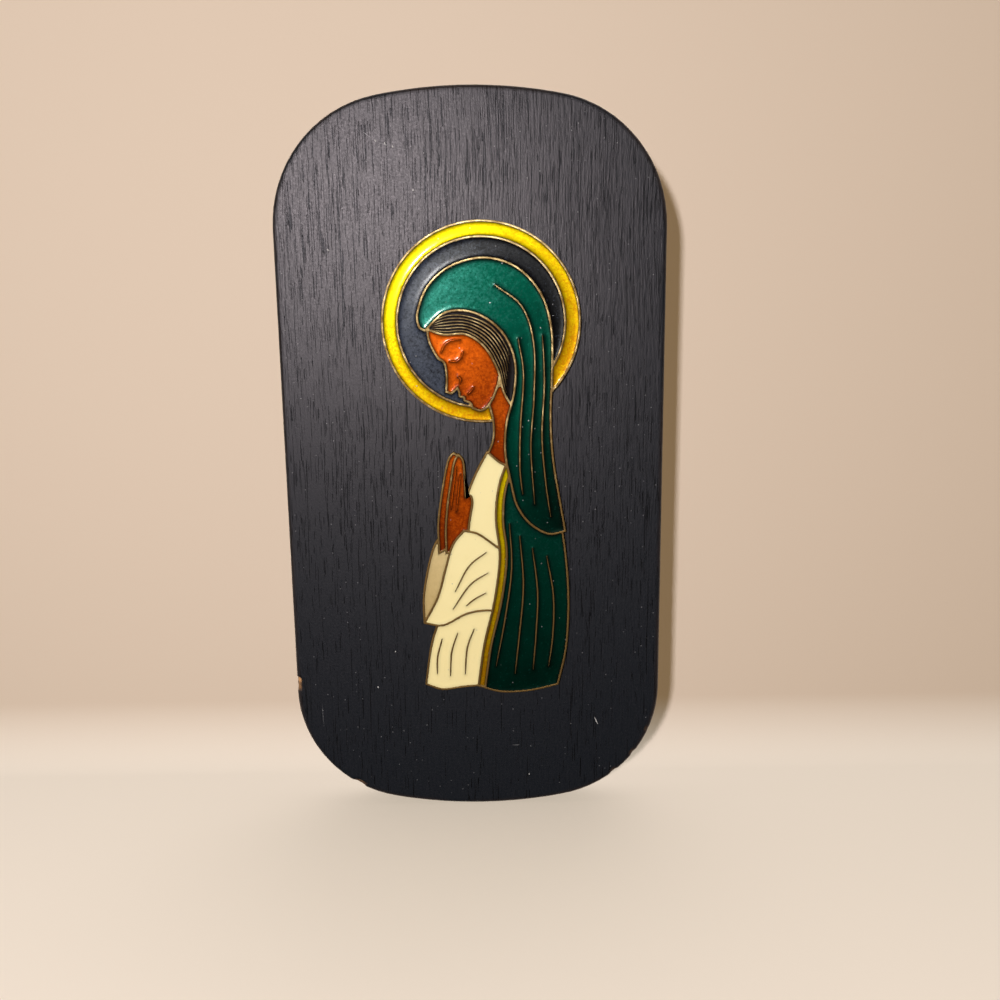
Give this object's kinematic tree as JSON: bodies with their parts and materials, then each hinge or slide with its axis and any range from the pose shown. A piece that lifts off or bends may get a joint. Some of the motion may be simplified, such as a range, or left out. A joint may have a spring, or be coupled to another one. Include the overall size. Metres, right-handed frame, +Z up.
{
  "type": "religious wall plaque",
  "caption": "Black-stained wooden wall plaque with rounded corners, bowed ends, an enamelled brass praying figure with a halo on its front and a ring hanger let into its back.",
  "frame": {"origin": "centre of the flat back face, the face that lies against the wall", "axes": "+Y out of the back, into the wall; +Z up the board; +X to the right seen from the front"},
  "size_m": [0.089, 0.0114, 0.171],
  "materials": {
    "ebonised_wood": "satin black stain over open grain",
    "struck_brass": "polished raised lines",
    "yellow_enamel": "glossy translucent",
    "blue_black_enamel": "glossy",
    "green_enamel": "glossy translucent",
    "hair_enamel": "glossy",
    "terracotta_enamel": "glossy translucent",
    "cream_enamel": "glossy opaque",
    "tan_enamel": "glossy opaque",
    "hanger_brass": "dull, handled"
  },
  "bodies": {
    "plaque": {"board": "ebonised_wood", "struck_plate": "struck_brass", "plate_studs": "struck_brass", "halo_enamel": "yellow_enamel", "halo_field_enamel": "blue_black_enamel", "veil_enamel": "green_enamel", "cloak_enamel": "green_enamel", "cloak_border_enamel": "yellow_enamel", "hair_enamel": "hair_enamel", "face_enamel": "terracotta_enamel", "neck_enamel": "terracotta_enamel", "near_hand_enamel": "terracotta_enamel", "far_hand_enamel": "terracotta_enamel", "sleeve_enamel": "cream_enamel", "sleeve_lining_enamel": "tan_enamel", "gown_enamel": "cream_enamel", "veil_fold_lines": "struck_brass", "cloak_fold_lines": "struck_brass", "gown_fold_lines": "struck_brass", "sleeve_fold_lines": "struck_brass", "hair_lines": "struck_brass", "face_lines": "struck_brass", "finger_lines": "struck_brass", "hanger_strap": "hanger_brass", "hanger_pins": "hanger_brass"},
    "ring": {"hanger_ring": "hanger_brass"}
  },
  "joints": [
    {"name": "ring_swing", "type": "hinge", "parent": "plaque", "child": "ring", "pos_m": [0, -0.00305, 0.0585], "axis": [1, 0, 0], "range_deg": [0, 175]}
  ]
}
